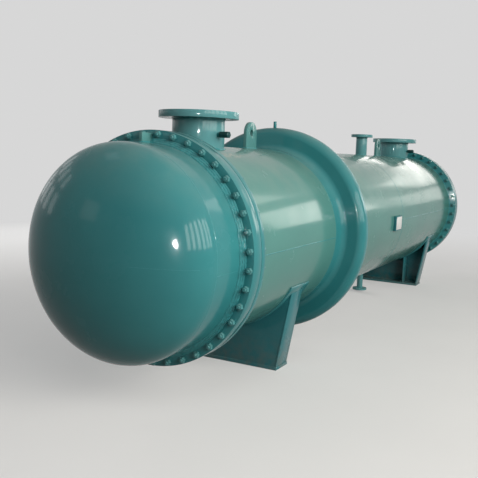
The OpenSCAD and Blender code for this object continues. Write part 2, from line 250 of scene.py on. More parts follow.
def noiseAt(tree, where, scale, detail=3, roughness=0.55):
    made = put(tree, "ShaderNodeTexNoise",
               {"Vector": where, "Scale": scale, "Detail": detail, "Roughness": roughness})
    return made.outputs["Fac"]


def remap(tree, value, low, high, toLow=0.0, toHigh=1.0):
    made = put(tree, "ShaderNodeMapRange", {"Value": value, "From Min": low, "From Max": high,
                                            "To Min": toLow, "To Max": toHigh})
    return made.outputs["Result"]


def blend(tree, factor, a, b):
    made = put(tree, "ShaderNodeMix", {"Factor": factor, 6: a, 7: b}, data_type="RGBA")
    return made.outputs[2]


def times(tree, a, b):
    return put(tree, "ShaderNodeMath", {0: a, 1: b}, operation="MULTIPLY").outputs[0]


def enamel(name, gloss=0.20, dusty=0.30, grimy=False, paintedHighlight=None, shade=(1, 1, 1),
           dustAndSheenShare=0.0, ripple=0.0):
    # blue-green gloss paint: patchy colour, dust on what faces up, waves and orange peel;
    # shade multiplies the colour, the share after it mixes in the pale dust colour (real dust,
    # and on the shells, nozzles, lugs and bolts also a painted sheen) and ripple is for welds
    material, tree, shader = newMaterial(name)
    where = put(tree, "ShaderNodeTexCoord").outputs["Object"]
    deep, light = [tuple(c * k for c, k in zip(paintMix[tone], shade)) + (1,)
                   for tone in ("deep", "light")]
    patches = remap(tree, noiseAt(tree, where, paintMix["patch"], 4), *paintMix["patchSpan"])
    # the pale dust colour mixed in here is real dust, and on some pieces also a painted sheen
    # standing in for reflected light
    colour = blend(tree, dustAndSheenShare, blend(tree, patches, deep, light), paintMix["dustAndSheen"])
    up = put(tree, "ShaderNodeSeparateXYZ",
             {0: put(tree, "ShaderNodeNewGeometry").outputs["Normal"]}).outputs["Z"]
    cover = remap(tree, noiseAt(tree, where, paintMix["dustScale"], 6), *paintMix["dustSpan"],
                  paintMix["dustLeast"], dusty * 2)
    settled = times(tree, remap(tree, up, *paintMix["facesUp"]), cover)
    colour = blend(tree, times(tree, settled, paintMix["dustCover"]), colour,
                   paintMix["dustAndSheen"])
    if grimy:
        height = put(tree, "ShaderNodeSeparateXYZ", {0: where}).outputs["Z"]
        low = remap(tree, height, paintMix["splashHeight"], 0.0, 0, paintMix["splashCover"])
        splash = times(tree, low, remap(tree, noiseAt(tree, where, paintMix["splashScale"], 6),
                                        *paintMix["splashSpan"]))
        colour = blend(tree, splash, colour, paintMix["grime"])
    # painted highlight: a light streak mixed into the paint
    if paintedHighlight:
        colour = blend(tree, paintedHighlightMask(tree, where, paintedHighlight), colour, paintMix["dustAndSheen"])
    tree.links.new(colour, shader.inputs["Base Color"])
    shader.inputs["Specular IOR Level"].default_value = paintMix["specular"]
    shader.inputs["Coat Weight"].default_value = paintMix["coat"]
    shader.inputs["Coat Roughness"].default_value = paintMix["coatRoughness"]
    rough = remap(tree, noiseAt(tree, where, paintMix["glossScale"], 5),
                  *paintMix["glossSpan"], gloss - paintMix["glossier"],
                  gloss + paintMix["duller"])
    tree.links.new(rough, shader.inputs["Roughness"])
    wave = put(tree, "ShaderNodeBump", {"Height": noiseAt(tree, where, paintMix["waveScale"], 1),
                                        "Distance": paintMix["waveHeight"]})
    peel = put(tree, "ShaderNodeBump", {"Height": noiseAt(tree, where, paintMix["peelScale"], 2),
                                        "Distance": paintMix["peelHeight"],
                                        "Normal": wave.outputs[0]})
    if ripple:
        lumps = noiseAt(tree, where, paintMix["rippleScale"], 3)
        peel = put(tree, "ShaderNodeBump", {"Height": lumps, "Distance": ripple,
                                            "Normal": peel.outputs[0]})
    tree.links.new(peel.outputs[0], shader.inputs["Normal"])
    return material


paintedHighlightMix = {"grain": 38, "grainRoughness": 0.7, "span": (0.44, 0.58), "edge": (1.0, 0.4)}


def paintedHighlightMask(tree, where, paintedHighlight):  # a painted highlight: a light streak, a stretched ball broken up by noise
    centred = put(tree, "ShaderNodeVectorMath", {0: where, 1: paintedHighlight["at"]},
                  operation="SUBTRACT").outputs[0]
    scaled = put(tree, "ShaderNodeVectorMath", {0: centred, 1: paintedHighlight["reach"]},
                 operation="DIVIDE").outputs[0]
    away = put(tree, "ShaderNodeVectorMath", {0: scaled}, operation="LENGTH").outputs["Value"]
    broken = remap(tree, noiseAt(tree, where, paintedHighlightMix["grain"], 5, paintedHighlightMix["grainRoughness"]),
                   *paintedHighlightMix["span"])
    inside = remap(tree, away, *paintedHighlightMix["edge"])
    return times(tree, times(tree, inside, broken), paintedHighlight["strength"])


metalMix = {"metallic": 0.9, "stainSpan": (0.35, 0.7), "roughSpan": (0.3, 0.7),
            "roughMore": 0.2, "grain": 300, "grainHeight": 0.0003}


def metal(name, colour, roughness, stain, scale=40):
    material, tree, shader = newMaterial(name)
    where = put(tree, "ShaderNodeTexCoord").outputs["Object"]
    mottled = remap(tree, noiseAt(tree, where, scale, 6), *metalMix["stainSpan"])
    tree.links.new(blend(tree, mottled, colour, stain), shader.inputs["Base Color"])
    shader.inputs["Metallic"].default_value = metalMix["metallic"]
    tree.links.new(remap(tree, noiseAt(tree, where, scale * 3, 4), *metalMix["roughSpan"],
                         roughness, roughness + metalMix["roughMore"]),
                   shader.inputs["Roughness"])
    bump = put(tree, "ShaderNodeBump", {"Height": noiseAt(tree, where, metalMix["grain"], 3),
                                        "Distance": metalMix["grainHeight"]})
    tree.links.new(bump.outputs[0], shader.inputs["Normal"])
    return material


gasketMix = {"dark": (0.010, 0.013, 0.012, 1), "pale": (0.03, 0.035, 0.033, 1),
             "fibre": 180, "fibreSpan": (0.3, 0.7), "fibreHeight": 0.0004, "roughness": 0.8}


def sheetGasket():
    material, tree, shader = newMaterial("sheetGasket")
    where = put(tree, "ShaderNodeTexCoord").outputs["Object"]
    fibres = remap(tree, noiseAt(tree, where, gasketMix["fibre"], 5), *gasketMix["fibreSpan"])
    tree.links.new(blend(tree, fibres, gasketMix["dark"], gasketMix["pale"]),
                   shader.inputs["Base Color"])
    shader.inputs["Roughness"].default_value = gasketMix["roughness"]
    bump = put(tree, "ShaderNodeBump", {"Height": fibres,
                                        "Distance": gasketMix["fibreHeight"]})
    tree.links.new(bump.outputs[0], shader.inputs["Normal"])
    return material


plateMix = {"dark": (0.62, 0.64, 0.62, 1), "pale": (0.74, 0.75, 0.74, 1), "cloud": 30,
            "metallic": 0.35, "brush": (3, 1, 160), "brushScale": 8, "span": (0.3, 0.7),
            "roughness": (0.3, 0.5)}


def barePlate():
    material, tree, shader = newMaterial("barePlate")
    where = put(tree, "ShaderNodeTexCoord").outputs["Object"]
    cloud = remap(tree, noiseAt(tree, where, plateMix["cloud"], 6), *plateMix["span"])
    tree.links.new(blend(tree, cloud, plateMix["dark"], plateMix["pale"]),
                   shader.inputs["Base Color"])
    shader.inputs["Metallic"].default_value = plateMix["metallic"]
    brushed = put(tree, "ShaderNodeMapping",
                  {"Vector": where, "Scale": plateMix["brush"]}).outputs[0]
    tree.links.new(remap(tree, noiseAt(tree, brushed, plateMix["brushScale"], 4),
                         *plateMix["span"], *plateMix["roughness"]),
                   shader.inputs["Roughness"])
    return material


vesselPaint = enamel("vesselPaint")
# the shell paints are paler, warmer copies of the vessel paint: real dust and a painted sheen of
# reflected window light; the front shell also carries a painted highlight, a light streak near
# the inlet nozzle
shellPaint = enamel("frontShellPaint", paintedHighlight={
    "at": (frontFace + 0.775 * shellR, -0.42 * shellR, axisZ + 0.908 * shellR),
    "reach": (0.22, 0.05, 0.05), "strength": 0.65}, shade=(1.1, 1.02, 0.88), dustAndSheenShare=0.12)
rearShellPaint = enamel("rearShellPaint", shade=(1.1, 1.02, 0.85), dustAndSheenShare=0.10)
# the nozzles' paint is a lighter copy of the vessel paint: painted light on the necks and
# flanges, with some dust
nozzlePaint = enamel("nozzlePaint", shade=(1.3, 1.25, 1.3), dustAndSheenShare=0.16)
# the lugs' paint is a lighter copy of the vessel paint: painted light, with some dust
lugPaint = enamel("lugPaint", shade=(1.1, 1.05, 1.0), dustAndSheenShare=0.14)
seamPaint = enamel("seamPaint", gloss=0.24, dusty=0.15, shade=(1.15, 1.15, 1.15), ripple=0.004)
saddlePaint = enamel("saddlePaint", gloss=0.24, grimy=True, shade=(0.8, 0.8, 0.85))
# the studs' paint is a lighter copy of the vessel paint: painted light on the bolt tips that
# catch the light, with some dust
boltPaint = enamel("boltPaint", gloss=0.16, dusty=0.15, shade=(1.15, 1.1, 1.1), dustAndSheenShare=0.10,
                   ripple=0.003)
plugPaint = enamel("plugPaint", gloss=0.35, shade=(0.25, 0.25, 0.25))
bareSteel = metal("bareSteel", (0.36, 0.35, 0.34, 1), 0.3, (0.20, 0.16, 0.13, 1))
tubeSteel = metal("tubeSteel", (0.30, 0.29, 0.28, 1), 0.35, (0.22, 0.12, 0.07, 1), 12)
gasketSheet = sheetGasket()
plateMetal = barePlate()
print("materials made")


# Heads

head = {"skirt": 0.318, "arc": 44, "seam": 0.006, "seamSink": 0.0045, "sideLine": 95,
        "sideSink": 0.005, "sideStart": 0.03, "sideStep": 0.004, "sideSteps": 72,
        "petalLine": 91, "petal": 0.004, "petalSink": 0.0034, "petalFrom": 20,
        "petalStep": 0.5, "petalSteps": 90}
head["dishStart"] = frontFace - head["skirt"]
head["depth"] = head["dishStart"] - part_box("front_head")[0].x


def dishArc(r, depth):
    quarter = [math.pi / 2 * i / head["arc"] for i in range(head["arc"] + 1)]
    return [(head["dishStart"] - depth * math.sin(a), r * math.cos(a)) for a in quarter]


def meridian(angle):  # the seam between two pressed petals of the dish
    arc = [math.radians(head["petalFrom"] + head["petalStep"] * i)
           for i in range(head["petalSteps"])]
    low, depth = shellR - head["petalSink"], head["depth"] - head["petalSink"]
    return [onShell(head["dishStart"] - depth * math.sin(a), angle, low * math.cos(a))
            for a in arc]


def headShell():
    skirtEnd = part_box("front_head")[1].x
    inside = dishArc(shellR - plateWall, head["depth"] - plateWall)
    return turned([(skirtEnd, shellR)] + dishArc(shellR, head["depth"]) + inside[::-1]
                  + [(skirtEnd, shellR - plateWall)])


fillet = {"leg": 0.034, "passes": 3, "pieces": 4, "swell": 0.0035, "slant": 0.7,
          "sink": 0.004, "steps": 720, "coarse": 55, "fine": 150, "fineShare": 0.6,
          "lump": 0.0028}


def roughFillet(x):  # welding passes between the skirt and the flange face
    bm = bmesh.new()
    leg, passes, slant, sink = [fillet[k] for k in ("leg", "passes", "slant", "sink")]
    rim = []
    for i in range(passes * fillet["pieces"] + 1):
        t = i / (passes * fillet["pieces"])
        swell = fillet["swell"] * abs(math.sin(math.pi * t * passes))
        rim.append((x - leg * (1 - t) - swell * slant, shellR + leg * t + swell * slant))
    rim += [(x + sink, shellR + leg), (x + sink, shellR - sink), (x - leg, shellR - sink)]
    points = [(a, 0, axisZ + r) for a, r in rim]
    spinAbout(bm, points, (0, 0, axisZ), (1, 0, 0), fillet["steps"])
    for vert in bm.verts:
        lump = (noise.noise(Vector(vert.co) * fillet["coarse"])
                + fillet["fineShare"] * noise.noise(Vector(vert.co) * fillet["fine"]))
        radial = Vector((0, vert.co.y, vert.co.z - axisZ)).normalized()
        outward = Vector((-slant, 0, 0)) + slant * radial
        vert.co += outward * lump * fillet["lump"]
    return bm


for rear in (False, True):
    end = "rear" if rear else "front"
    turnEnd = mirrorEnds if rear else (lambda bm: bm)
    keep(turnEnd(headShell()), end + "Head", vesselPaint, (end + "_head",))
    seams = bmesh.new()
    bead(seams, hoop(head["dishStart"], shellR - head["seamSink"]), head["seam"], True)
    side = [onShell(frontFace - head["sideStart"] - i * head["sideStep"],
                    math.radians(head["sideLine"]), shellR - head["sideSink"])
            for i in range(head["sideSteps"])]
    bead(seams, side, head["seam"])
    bead(seams, meridian(math.radians(head["petalLine"])), head["petal"], False, 0.3)
    keep(turnEnd(seams), end + "HeadSeams", seamPaint)
    keep(turnEnd(roughFillet(frontFace)), end + "FlangeWeld", seamPaint)
print("heads made")


# Girth flanges, gaskets and tubesheets

girth = {"edge": 0.003, "gasketEdge": 0.0003, "clear": 0.0003, "setback": 0.008}


def ringPiece(node, outer, inner, width):
    low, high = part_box(node)
    bm = turned([(low.x, inner), (high.x, inner), (high.x, outer), (low.x, outer)])
    return soften(bm, width)


for end in ("front", "rear"):
    keep(ringPiece(end + "_head_flange", girthR, shellR + girth["clear"], girth["edge"]),
         end + "HeadFlange", vesselPaint, (end + "_head_flange",))
    keep(ringPiece(end + "_gasket", girthR - girth["setback"], shellR + girth["clear"],
                   girth["gasketEdge"]),
         end + "Gasket", gasketSheet, (end + "_gasket",))
    low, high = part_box(end + "_tubesheet")
    disc = turned([(low.x, 0), (low.x, girthR), (high.x, girthR), (high.x, 0)])
    keep(soften(disc, girth["edge"]), end + "Tubesheet", vesselPaint,
         (end + "_tubesheet",))
print("girth flanges made")


# Stud bolts of the girth flanges

studs = {"count": 40, "circle": 0.812, "across": 0.041, "nut": 0.024, "rod": 0.0135,
         "tipFront": 0.010, "tipBack": 0.020, "pitch": 0.0035, "thread": 0.0012,
         "chamfer": 0.0035, "tipTaper": 0.75, "tipSides": 12}


def nutAt(bm, x, outward):
    radius = studs["across"] / 2 / math.cos(math.pi / 6)
    centre = (x + outward * studs["nut"] / 2, 0, axisZ + studs["circle"])
    place = Matrix.Translation(centre) @ Matrix.Rotation(math.pi / 2, 4, "Y")
    made = bmesh.ops.create_cone(bm, cap_ends=True, segments=6, radius1=radius,
                                 radius2=radius, depth=studs["nut"], matrix=place)
    face = x + outward * studs["nut"]
    rim = [e for e in {e for v in made["verts"] for e in v.link_edges}
           if all(abs(v.co.x - face) < 1e-5 for v in e.verts)]
    bmesh.ops.bevel(bm, geom=rim, offset=studs["chamfer"], offset_type="OFFSET",
                    affect="EDGES", segments=2, profile=0.5, material=-1)


def tipAt(bm, x, outward, length):
    rod, deep = studs["rod"], studs["thread"]
    turns = int(length / studs["pitch"])
    points = [(x, rod - deep)]
    for i in range(turns):
        points.append((x + outward * studs["pitch"] * (i + 0.5), rod))
        points.append((x + outward * studs["pitch"] * (i + 1), rod - deep))
    points.append((x + outward * length, rod * studs["tipTaper"]))
    points.append((x + outward * length, 0))
    centre = axisZ + studs["circle"]
    spinAbout(bm, [(a, 0, centre + r) for a, r in points], (0, 0, centre), (1, 0, 0),
              studs["tipSides"], False)


def studSet():
    one = bmesh.new()
    nutAt(one, frontFace, -1)
    nutAt(one, flangeBack, 1)
    tipAt(one, frontFace - studs["nut"], -1, studs["tipFront"])
    tipAt(one, flangeBack + studs["nut"], 1, studs["tipBack"])
    bmesh.ops.recalc_face_normals(one, faces=one.faces)
    mesh = bpy.data.meshes.new("stud")
    one.to_mesh(mesh)
    one.free()
    every = bmesh.new()
    for i in range(studs["count"]):
        before = set(every.verts)
        every.from_mesh(mesh)
        added = [v for v in every.verts if v not in before]
        turn = noise.noise(Vector((i * 1.7, 0.3, 0))) * math.pi  # nuts stop at any angle
        bmesh.ops.rotate(every, verts=added, cent=(0, 0, axisZ + studs["circle"]),
                         matrix=Matrix.Rotation(turn, 3, "X"))
        bmesh.ops.rotate(every, verts=added, cent=(0, 0, axisZ),
                         matrix=Matrix.Rotation(math.tau * (i + 0.5) / studs["count"], 3, "X"))
    bpy.data.meshes.remove(mesh)
    return every


keep(studSet(), "frontStuds", boltPaint)
keep(mirrorEnds(studSet()), "rearStuds", boltPaint)
print("studs made")


# Shell and its nozzles

nozzles = {
    "inlet": {"up": 1, "wall": 0.012, "circle": 0.550, "count": 16, "hole": 0.036},
    "outlet": {"up": 1, "wall": 0.012, "circle": 0.550, "count": 16, "hole": 0.036},
    "vent": {"up": 1, "wall": 0.006, "circle": 0.220, "count": 8, "hole": 0.026},
    "drain": {"up": -1, "wall": 0.006, "circle": 0.145, "count": 8, "hole": 0.018},
}
nozzleEdge = {"face": 0.003, "faceToHoles": 0.010, "clear": 0.0003, "sink": 0.005,
              "pipeEdge": 0.001, "flangeEdge": 0.0015, "over": 0.02}
for name, nozzle in nozzles.items():
    nozzle["x"] = middle(name + "_pipe").x
    nozzle["outer"] = size(name + "_pipe").x / 2


def course(node, holes):
    low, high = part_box(node)
    bm = turned([(low.x, shellR - plateWall), (high.x, shellR - plateWall),
                 (high.x, shellR), (low.x, shellR)])
    for name in holes:
        nozzle = nozzles[name]
        ends = sorted((axisZ, axisZ + nozzle["up"] * 1.2 * shellR))
        bm = drilled(bm, [(nozzle["x"], 0)], nozzle["outer"] - nozzle["wall"], *ends)
    return bm


def flipDown(bm):
    bmesh.ops.scale(bm, vec=(1, 1, -1), verts=bm.verts)
    bmesh.ops.translate(bm, vec=(0, 0, 2 * axisZ), verts=bm.verts)
    bmesh.ops.reverse_faces(bm, faces=bm.faces)
    return bm


def nozzlePipe(nozzle, top):  # its foot follows the round shell
    outer, inner = nozzle["outer"], nozzle["outer"] - nozzle["wall"]
    foot = axisZ + 0.5 * shellR
    bm = turnedUp([(inner, foot), (outer, foot), (outer, top), (inner, top)], nozzle["x"])
    for vert in bm.verts:
        if vert.co.z < foot + 0.001:
            vert.co.z = axisZ + math.sqrt(shellR ** 2 - vert.co.y ** 2) - nozzleEdge["sink"]
    return soften(bm, nozzleEdge["pipeEdge"])


def nozzleFlange(nozzle, low, high, outer):
    bore = nozzle["outer"] + nozzleEdge["clear"]
    ledge = high - nozzleEdge["face"]
    faceR = (nozzle["circle"] - nozzle["hole"]) / 2 - nozzleEdge["faceToHoles"]
    bm = turnedUp([(bore, low), (outer, low), (outer, ledge), (faceR, ledge),
                   (faceR, high), (bore, high)], nozzle["x"])
    angles = [(i + 0.5) * math.tau / nozzle["count"] for i in range(nozzle["count"])]
    centres = [(nozzle["x"] + nozzle["circle"] / 2 * math.cos(a),
                nozzle["circle"] / 2 * math.sin(a)) for a in angles]
    bm = drilled(bm, centres, nozzle["hole"] / 2, low - nozzleEdge["over"],
                 high + nozzleEdge["over"])
    return soften(bm, nozzleEdge["flangeEdge"])


nozzleWeld = {"steps": 160, "off": 0.002, "wide": 0.009, "narrow": 0.006, "wideFrom": 0.1,
              "rough": 0.25, "neck": 0.006, "neckOff": 0.001, "lip": 0.0035, "lipIn": 0.004}


def nozzleWelds(nozzle, low, high):
    bm = bmesh.new()
    outer, x = nozzle["outer"], nozzle["x"]
    footR = outer + nozzleWeld["off"]
    turns = [math.tau * i / nozzleWeld["steps"] for i in range(nozzleWeld["steps"])]
    foot = [(x + footR * math.cos(a), footR * math.sin(a),
             axisZ + math.sqrt(shellR ** 2 - (outer * math.sin(a)) ** 2)) for a in turns]
    width = nozzleWeld["wide" if outer > nozzleWeld["wideFrom"] else "narrow"]
    bead(bm, foot, width, True, nozzleWeld["rough"])
    for r, z, width in ((outer + nozzleWeld["neckOff"], low, nozzleWeld["neck"]),
                        (outer - nozzleWeld["lipIn"], high - nozzleWeld["lip"],
                         nozzleWeld["lip"])):
        bead(bm, [(x + r * math.cos(a), r * math.sin(a), z) for a in turns], width, True)
    return bm


for node, name, holes, paint in (
        ("front_shell", "frontShell", ["inlet"], shellPaint),
        ("rear_shell_first_course", "rearShellFirstCourse", [], rearShellPaint),
        ("rear_shell_second_course", "rearShellSecondCourse", ["outlet", "vent", "drain"],
         rearShellPaint)):
    shell = keep(course(node, holes), name, paint, (node,))
    trueRound(shell, (shellR, shellR - plateWall))
for name, nozzle in nozzles.items():
    down = nozzle["up"] < 0
    turnDown = flipDown if down else (lambda bm: bm)
    low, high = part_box(name + "_flange")
    bottom, top = (2 * axisZ - high.z, 2 * axisZ - low.z) if down else (low.z, high.z)
    pipeTop = top - nozzleEdge["face"]
    keep(turnDown(nozzlePipe(nozzle, pipeTop)), name + "Pipe", nozzlePaint,
         (name + "_pipe",))
    keep(turnDown(nozzleFlange(nozzle, bottom, top, size(name + "_flange").x / 2)),
         name + "Flange", nozzlePaint, (name + "_flange",))
    keep(turnDown(nozzleWelds(nozzle, bottom, top)), name + "Welds", seamPaint)
print("shell and nozzles made")


# Expansion joint

joint = {"halfWidth": 0.092, "crestRadius": 0.075, "rootRadius": 0.060, "arc": 18,
         "weld": 0.0075, "weldSink": 0.006}


def jointHalf():
    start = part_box("expansion_front_half")[0].x
    ring = jointX - joint["halfWidth"]

    def outline(wall):
        root, crest = joint["rootRadius"] + wall, joint["crestRadius"] - wall
        rootX, rootR = ring - joint["rootRadius"], shellR + joint["rootRadius"]
        crestX, crestAt = ring + joint["crestRadius"], crestR - joint["crestRadius"]
        quarter = [math.pi / 2 * i / joint["arc"] for i in range(joint["arc"] + 1)]
        flare = [(rootX + root * math.sin(a), rootR - root * math.cos(a)) for a in quarter]
        knuckle = [(crestX - crest * math.cos(a), crestAt + crest * math.sin(a))
                   for a in quarter]
        return [(start, shellR - wall)] + flare + knuckle + [(jointX, crestR - wall)]

    return turned(outline(0) + outline(plateWall)[::-1])


seams = bmesh.new()
bead(seams, hoop(jointX, crestR - joint["weldSink"], 480), joint["weld"], True)
keep(jointHalf(), "expansionFrontHalf", vesselPaint, ("expansion_front_half",))
rearHalf = jointHalf()
bmesh.ops.translate(rearHalf, vec=(-jointX, 0, 0), verts=rearHalf.verts)
mirrorEnds(rearHalf)
bmesh.ops.translate(rearHalf, vec=(jointX, 0, 0), verts=rearHalf.verts)
keep(rearHalf, "expansionRearHalf", vesselPaint, ("expansion_rear_half",))
keep(cadCopy("expansion_vent_stub", 0.001), "expansionVentStub", vesselPaint,
     ("expansion_vent_stub",))
print("expansion joint made")


# Seams of the shell

shellSeams = {"width": 0.006, "sink": 0.0042, "frontLine": 90.4, "rearLine": 89.1,
              "hiddenLine": 205.0, "startGap": 0.03, "endGap": 0.01, "steps": 260,
              "flangeWidth": 0.009, "flangeOff": 0.001, "flangeRough": 0.25}
for x in (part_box("expansion_front_half")[0].x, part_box("expansion_rear_half")[1].x,
          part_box("rear_shell_second_course")[0].x):
    bead(seams, hoop(x, shellR - shellSeams["sink"], 480), shellSeams["width"], True)
for node, angle in (("front_shell", shellSeams["frontLine"]),
                    ("rear_shell_second_course", shellSeams["rearLine"]),
                    ("rear_shell_first_course", shellSeams["hiddenLine"])):
    low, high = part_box(node)
    ends = [onShell(x, math.radians(angle), shellR - shellSeams["sink"])
            for x in (low.x + shellSeams["startGap"], high.x - shellSeams["endGap"])]
    bead(seams, straight(*ends, shellSeams["steps"]), shellSeams["width"])
for x in (flangeBack, -flangeBack):
    bead(seams, hoop(x, shellR + shellSeams["flangeOff"], 480), shellSeams["flangeWidth"],
         True, shellSeams["flangeRough"])
keep(seams, "shellSeams", seamPaint)
print("seams made")


# Lugs, gauge bosses and nameplate

lugs = {"edge": 0.002, "overlap": 0.03, "step": 0.005, "weld": 0.008, "rough": 0.3}
for node in ("front_lifting_lug", "rear_lifting_lug", "front_head_lug", "rear_head_lug"):
    keep(cadCopy(node, lugs["edge"]), node.replace("_", " ").title().replace(" ", ""),
         lugPaint, (node,))
lugWelds = bmesh.new()
for node, gap in (("front_lifting_lug", 0), ("rear_lifting_lug", 0), ("front_head_lug", 1),
                  ("rear_head_lug", -1)):
    low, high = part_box(node)
    foot = axisZ + shellR
    left = low.x + (lugs["overlap"] if gap < 0 else 0)
    right = high.x - (lugs["overlap"] if gap > 0 else 0)
    around = [(left, low.y), (right, low.y), (right, high.y), (left, high.y), (left, low.y)]
    path = []
    for (ax, ay), (bx, by) in zip(around, around[1:]):
        path += straight((ax, ay, foot), (bx, by, foot), max(4, int(abs(bx - ax) / lugs["step"])))
    bead(lugWelds, path, lugs["weld"], False, lugs["rough"])
keep(lugWelds, "lugWelds", seamPaint)

boss = {"edge": 0.001, "plugEdge": 0.003}
for name in ("inlet", "outlet"):
    keep(cadCopy(name + "_gauge_boss", boss["edge"]), name + "GaugeBoss",
         vesselPaint, (name + "_gauge_boss",))
    keep(cadCopy(name + "_gauge_plug", boss["plugEdge"]), name + "GaugePlug",
         plugPaint, (name + "_gauge_plug",))

tag = {"rivet": 0.004, "inset": 0.012, "edge": 0.0006, "bracketEdge": 0.001}
keep(cadCopy("nameplate_bracket", tag["bracketEdge"]), "nameplateBracket",
     saddlePaint, ("nameplate_bracket",))
keep(cadCopy("nameplate", tag["edge"]), "namePlate", plateMetal, ("nameplate",))
rivets = bmesh.new()
low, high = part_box("nameplate")
for x in (low.x + tag["inset"], high.x - tag["inset"]):
    for z in (low.z + tag["inset"], high.z - tag["inset"]):
        place = Matrix.Translation((x, low.y, z)) @ Matrix.Diagonal((1, 0.5, 1, 1))
        bmesh.ops.create_uvsphere(rivets, u_segments=16, v_segments=8, radius=tag["rivet"],
                                  matrix=place)
keep(rivets, "nameplateRivets", bareSteel)
print("lugs, bosses and nameplate made")


# Saddles

saddle = {"padAngle": 62, "leg": 0.006, "edge": 0.0015, "lift": 0.003, "inset": 0.012,
          "rough": 0.25, "arcSteps": 180, "sideSteps": 50, "webSteps": 150}
saddleWelds = bmesh.new()
for end in ("front", "rear"):
    for part in ("web", "ribs", "base"):
        keep(cadCopy(f"{end}_saddle_{part}", saddle["edge"]), f"{end}Saddle{part.title()}",
             saddlePaint, (f"{end}_saddle_{part}",))
    keep(cadCopy(f"{end}_saddle_wear_plate", saddle["edge"]), end + "SaddleWearPlate",
         vesselPaint, (f"{end}_saddle_wear_plate",))
    low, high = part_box(f"{end}_saddle_wear_plate")
    reach = math.radians(saddle["padAngle"])
    arc = [math.pi - reach + 2 * reach * i / saddle["arcSteps"]
           for i in range(saddle["arcSteps"] + 1)]
    r = shellR + saddle["lift"]
    around = [onShell(low.x, a, r) for a in arc]
    around += straight(onShell(low.x, arc[-1], r), onShell(high.x, arc[-1], r),
                       saddle["sideSteps"])
    around += [onShell(high.x, a, r) for a in arc[::-1]]
    around += straight(onShell(high.x, arc[0], r), onShell(low.x, arc[0], r),
                       saddle["sideSteps"])
    bead(saddleWelds, around, saddle["leg"], True, saddle["rough"])
    low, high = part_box(f"{end}_saddle_base")
    webLow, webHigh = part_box(f"{end}_saddle_web")
    half = size(f"{end}_saddle_base").y / 2 - saddle["inset"]
    for x in (webLow.x, webHigh.x):
        bead(saddleWelds, straight((x, -half, high.z), (x, half, high.z),
                                   saddle["webSteps"]),
             saddle["leg"], False, saddle["rough"])
keep(saddleWelds, "saddleWelds", saddlePaint)
print("saddles made")


# Tubes, seen down the open nozzles

tubes = {"outer": 0.0125, "pitch": 0.032, "reach": 0.675, "sides": 8}


def tubeBundle():
    start, end = flangeBack, -flangeBack
    one = bmesh.new()
    centre = Matrix.Translation(((start + end) / 2, 0, axisZ))
    place = centre @ Matrix.Rotation(math.pi / 2, 4, "Y")
    bmesh.ops.create_cone(one, cap_ends=False, segments=tubes["sides"],
                          radius1=tubes["outer"], radius2=tubes["outer"],
                          depth=end - start, matrix=place)
    mesh = bpy.data.meshes.new("tube")
    one.to_mesh(mesh)
    one.free()
    bundle = bmesh.new()
    rows = int(tubes["reach"] / (tubes["pitch"] * math.sqrt(0.75)))
    for row in range(-rows, rows + 1):
        z = row * tubes["pitch"] * math.sqrt(0.75)
        half = int(math.sqrt(max(0, tubes["reach"] ** 2 - z * z)) / tubes["pitch"])
        for column in range(-half, half + 1):
            y = (column + 0.5 * (row % 2)) * tubes["pitch"]
            if math.hypot(y, z) > tubes["reach"]:
                continue
            count = len(bundle.verts)
            bundle.from_mesh(mesh)
            bundle.verts.ensure_lookup_table()
            bmesh.ops.translate(bundle, vec=(0, y, z), verts=bundle.verts[count:])
    bpy.data.meshes.remove(mesh)
    return bundle


keep(tubeBundle(), "tubeBundle", tubeSteel)
for node in ("baffles", "tie_rods"):
    nodes[node].data.materials.clear()
    nodes[node].data.materials.append(bareSteel)
print("tubes made")


# Floor, light and camera

room = {"floor": (0.82, 0.81, 0.79, 1), "bounce": (0.095, 0.09, 0.08, 1), "floorSize": 60,
        "fadeFrom": 4, "fadeTo": 10.5, "haze": 0.42, "sky": 0.68, "fill": 0.02,
        "stain": 0.7, "stainSpan": (0.3, 0.7), "stainShade": 0.95, "roughness": 0.8}


def shownDirectly(tree):  # 1 for what the camera sees, straight or in a gloss, else 0
    path = put(tree, "ShaderNodeLightPath").outputs
    first = put(tree, "ShaderNodeMath", {0: path["Is Camera Ray"], 1: path["Is Glossy Ray"]},
                operation="MAXIMUM").outputs[0]
    return put(tree, "ShaderNodeMath", {0: first, 1: path["Is Transmission Ray"]},
               operation="MAXIMUM").outputs[0]


def floorMaterial():  # plain and pale, and melts into the backdrop far away
    material, tree, shader = newMaterial("floorPaint")
    where = put(tree, "ShaderNodeTexCoord").outputs["Object"]
    stain = remap(tree, noiseAt(tree, where, room["stain"], 5), *room["stainSpan"])
    shade = tuple(c * room["stainShade"] for c in room["floor"][:3]) + (1,)
    pale = blend(tree, stain, room["floor"], shade)
    shown = shownDirectly(tree)
    tree.links.new(blend(tree, shown, room["bounce"], pale), shader.inputs["Base Color"])
    shader.inputs["Roughness"].default_value = room["roughness"]
    away = put(tree, "ShaderNodeVectorMath", {0: where}, operation="LENGTH").outputs["Value"]
    glow = put(tree, "ShaderNodeEmission",
               {"Color": (1, 1, 1, 1),
                "Strength": remap(tree, shown, 0, 1, room["fill"], room["sky"])})
    mixed = put(tree, "ShaderNodeMixShader",
                {0: remap(tree, away, room["fadeFrom"], room["fadeTo"], room["haze"], 1.0),
                 1: shader.outputs[0], 2: glow.outputs[0]})
    tree.links.new(mixed.outputs[0], tree.nodes["Material Output"].inputs["Surface"])
    return material


ground = bmesh.new()
bmesh.ops.create_grid(ground, x_segments=1, y_segments=1, size=room["floorSize"])
floor = linked("floor", ground)
floor.data.materials.append(floorMaterial())

